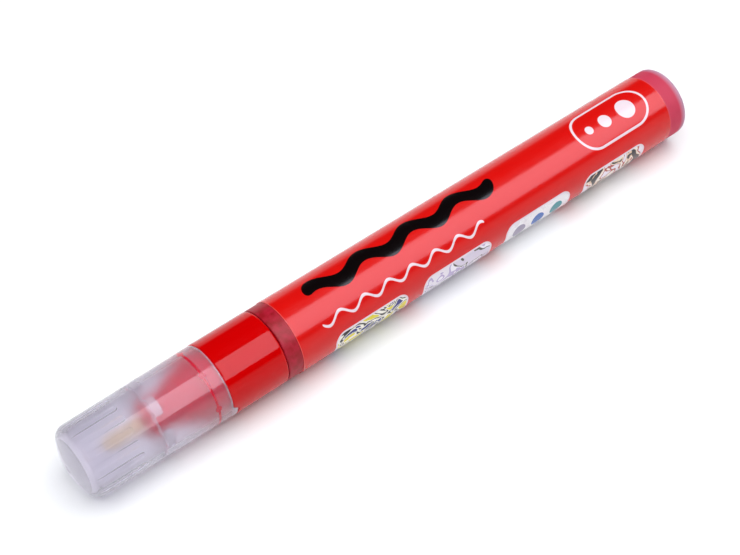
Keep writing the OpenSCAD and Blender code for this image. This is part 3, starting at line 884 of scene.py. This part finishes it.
# %% Frame, discs and windows
discs_v, frame_line, windows_v, window_line = -2.4, 0.5, 10.5, 0.4
pill = rounded_box(tree, print_at, centre=(79.5, discs_v), half=(9.3, 4.5), corner=4.5)
colour = ink(tree, ink(tree, colour, white_ink, pill), linear("#D10E0A"), pill, frame_line)
for place, size in ((73.8, 0.9), (78, 1.4), (83.6, 2.1)):
    colour = ink(tree, colour, white_ink, disc(tree, print_at, (place, discs_v), size))
windows = [
    (15.5, ("#E2D23A", "#F3EFE4", "#1E1B1C", "#F3EFE4", "#2B2F7C"), 4.5),
    (35.8, ("#E9E2EC", "#B9A8CF", "#EFE9F2", "#5A5148", "#D9CFE0"), 4.5),
    (56.1, ("#EDE8EC", "#F3EFF2", "#E6E0E6", "#F3EFF2", "#EDE8EC"), 3.0),
    (76.4, ("#2A2328", "#E4C3A6", "#F2E6DC", "#B4534A", "#EADFEA"), 4.5)]
for centre, colours, size in windows:
    window = rounded_box(tree, print_at, (centre, windows_v), half=(8.3, 5.0), corner=2.2)
    colour = ink(tree, colour, white_ink, window)
    colour = ink(tree, colour, poured(tree, print_at, colours, size), window, window_line)
for place, code in ((51.3, "#9A8FA6"), (56.1, "#2F5FB0"), (60.9, "#2C8A93")):
    colour = ink(tree, colour, linear(code), disc(tree, print_at, (place, 8.6), 1.6))
print("label printed with", len(windows), "windows")

# %% Label edge and gloss
edge_w, past_seam = 0.1, 60
length = label_rear - label_front
film_edge = rounded_box(tree, print_at, (length / 2, 0), half=(length / 2 - edge_w, past_seam), corner=1)
colour = blend(tree, between(tree, film_edge, -0.02, 0.02), colour, linear("#E2524E"))
feed(tree, shader, Base_Color=colour, Roughness=uneven(tree, speckle(tree, mm, 2.5), 0.15, 0.2))
relief(tree, shader, speckle(tree, mm, 3.0), 0.002)
print(label_film.name, "has", len(tree.nodes), "nodes")

# %% Label
turns, tuck = 216, 0.045
overlap = 2.5 / label_r
first, last = facing - math.pi - overlap / 2, facing + math.pi + overlap / 2


def label_outline(clock):
    """Section of the film, thinned at its two ends so that one end lies under the other."""
    under = max(0, min(1, (first + 1.6 * overlap - clock) / (0.5 * overlap)))
    over = max(0, min(1, (clock - last + 1.6 * overlap) / (0.5 * overlap)))
    low = label_in + tuck * over
    high = label_r - tuck * under
    return rounded([(label_front, low, 0), (label_front, high, 0), (label_rear, high, 0), (label_rear, low, 0)])


label = sweep("label_sheet", label_outline, [first + (last - first) * i / turns for i in range(turns + 1)],
              label_film, ends="capped", wrap="wrap")
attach(label, "pen_body")
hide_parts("label")

# %% [markdown]
# ## The valve spring
# Behind the nib a small coil holds the valve shut. A coil is a path with a round section, which is what the Spiral
# and Curve to Mesh nodes are for. When the nib is pressed its front end follows the valve's stem and its rear end
# stays with the barrel.

# %% The coil tree
coil_tree, given, made = open_tree("coil", Turns="Float", Mean_radius="Float", Length="Float", Wire_radius="Float",
                                   Start="Vector", Finish="Material")
path = add(coil_tree, "GeometryNodeCurveSpiral", {
    "Resolution": 32, "Rotations": given["Turns"], "Start Radius": given["Mean radius"],
    "End Radius": given["Mean radius"], "Height": given["Length"]})
laid = add(coil_tree, "GeometryNodeTransform", {
    "Geometry": path, "Rotation": (0, math.pi / 2, 0), "Translation": given["Start"]})
wire = add(coil_tree, "GeometryNodeCurvePrimitiveCircle", {"Resolution": 14, "Radius": given["Wire radius"]})
tube = add(coil_tree, "GeometryNodeCurveToMesh", {
    "Curve": laid, "Profile Curve": wire.outputs[0], "Fill Caps": True})
smooth = add(coil_tree, "GeometryNodeSetShadeSmooth", {0: tube})
plain = add(coil_tree, "GeometryNodeRealizeInstances", {0: smooth})
dressed = add(coil_tree, "GeometryNodeSetMaterial", {0: plain, "Material": given["Finish"]})
coil_tree.links.new(dressed.outputs[0], made["Geometry"])
print(coil_tree.name, "has", len(coil_tree.nodes), "nodes")

# %% Valve spring
# Drawn spring wire is bright, with fine lines that break up its mirror image. The lines are coarser than the real
# 0.01 mm, so that they show.
spring_steel, tree, shader, mm = new_finish("stainless_spring_wire_drawn", Metallic=1.0)
lines = speckle(tree, mm, 0.1, stretch=(1, 6, 6))
feed(tree, shader, Base_Color=blend(tree, lines, linear("#9EA0A4"), linear("#C4C6CA")),
     Roughness=uneven(tree, lines, 0.22, 0.34))
wire_r, coil_r, coil_turns = 0.2, 1.9, 6.0


def on_axis(u):
    """Point of the pen's axis at a station."""
    return from_axis(u, 0, 0) + Vector((0, 0, axis_z))


spring = grow("valve_coil", coil_tree, Turns=coil_turns, Mean_radius=coil_r * MM,
              Length=(spring_rear - spring_front - 2 * wire_r) * MM, Wire_radius=wire_r * MM,
              Start=on_axis(spring_front + wire_r), Finish=spring_steel)
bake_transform(spring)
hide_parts("valve_spring")

# %% [markdown]
# ## The hidden pieces
# The valve's body, cage and stem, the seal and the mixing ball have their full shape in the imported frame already.
# They could be made again with finer edges, but nobody sees them with the pen whole, so they keep their shape and get
# their real finishes: white acetal, black rubber and ground steel.

# %% Hidden finishes
# Acetal is a dense, even white with a satin surface.
acetal, tree, shader, mm = new_finish("acetal_white_moulded", IOR=1.48)
feed(tree, shader, Base_Color=blend(tree, speckle(tree, mm, 1.5), linear("#E6E5E0"), linear("#F1F0EC")),
     Roughness=uneven(tree, speckle(tree, mm, 0.6), 0.32, 0.45))
# Nitrile rubber is black and matt. Its grain is coarser than the real 0.02 mm, so that it shows.
rubber, tree, shader, mm = new_finish("nitrile_rubber_moulded", IOR=1.52)
feed(tree, shader, Base_Color=blend(tree, speckle(tree, mm, 0.4), linear("#232325"), linear("#323236")),
     Roughness=uneven(tree, speckle(tree, mm, 0.2), 0.6, 0.8))
relief(tree, shader, speckle(tree, mm, 0.15), 0.01)
# Ground steel is a bright mirror with fine scratches, coarser here than the real 0.01 mm, so that they show.
ball_steel, tree, shader, mm = new_finish("carbon_steel_ground", Metallic=1.0)
scratches = speckle(tree, mm, 0.15, stretch=(8, 1, 2), detail=3)
feed(tree, shader, Base_Color=blend(tree, scratches, linear("#A7A9AC"), linear("#C9CBCE")),
     Roughness=uneven(tree, scratches, 0.1, 0.2))
for node, finish in (("valve_body", acetal), ("valve_cage", acetal), ("valve_stem", acetal), ("valve_seal", rubber),
                     ("mixing_ball", ball_steel)):
    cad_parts[node].material_slots[0].material = finish
    print(node, "has", finish.name)

# %% [markdown]
# ## The size of the dressed pen
# The fine shapes have to stay inside the box of the imported pen, so the dressed pen's box is written down.

# %% Size of the dressed pen
low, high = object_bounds()
print("dressed box in mm:", [round(side / MM, 3) for side in high - low])
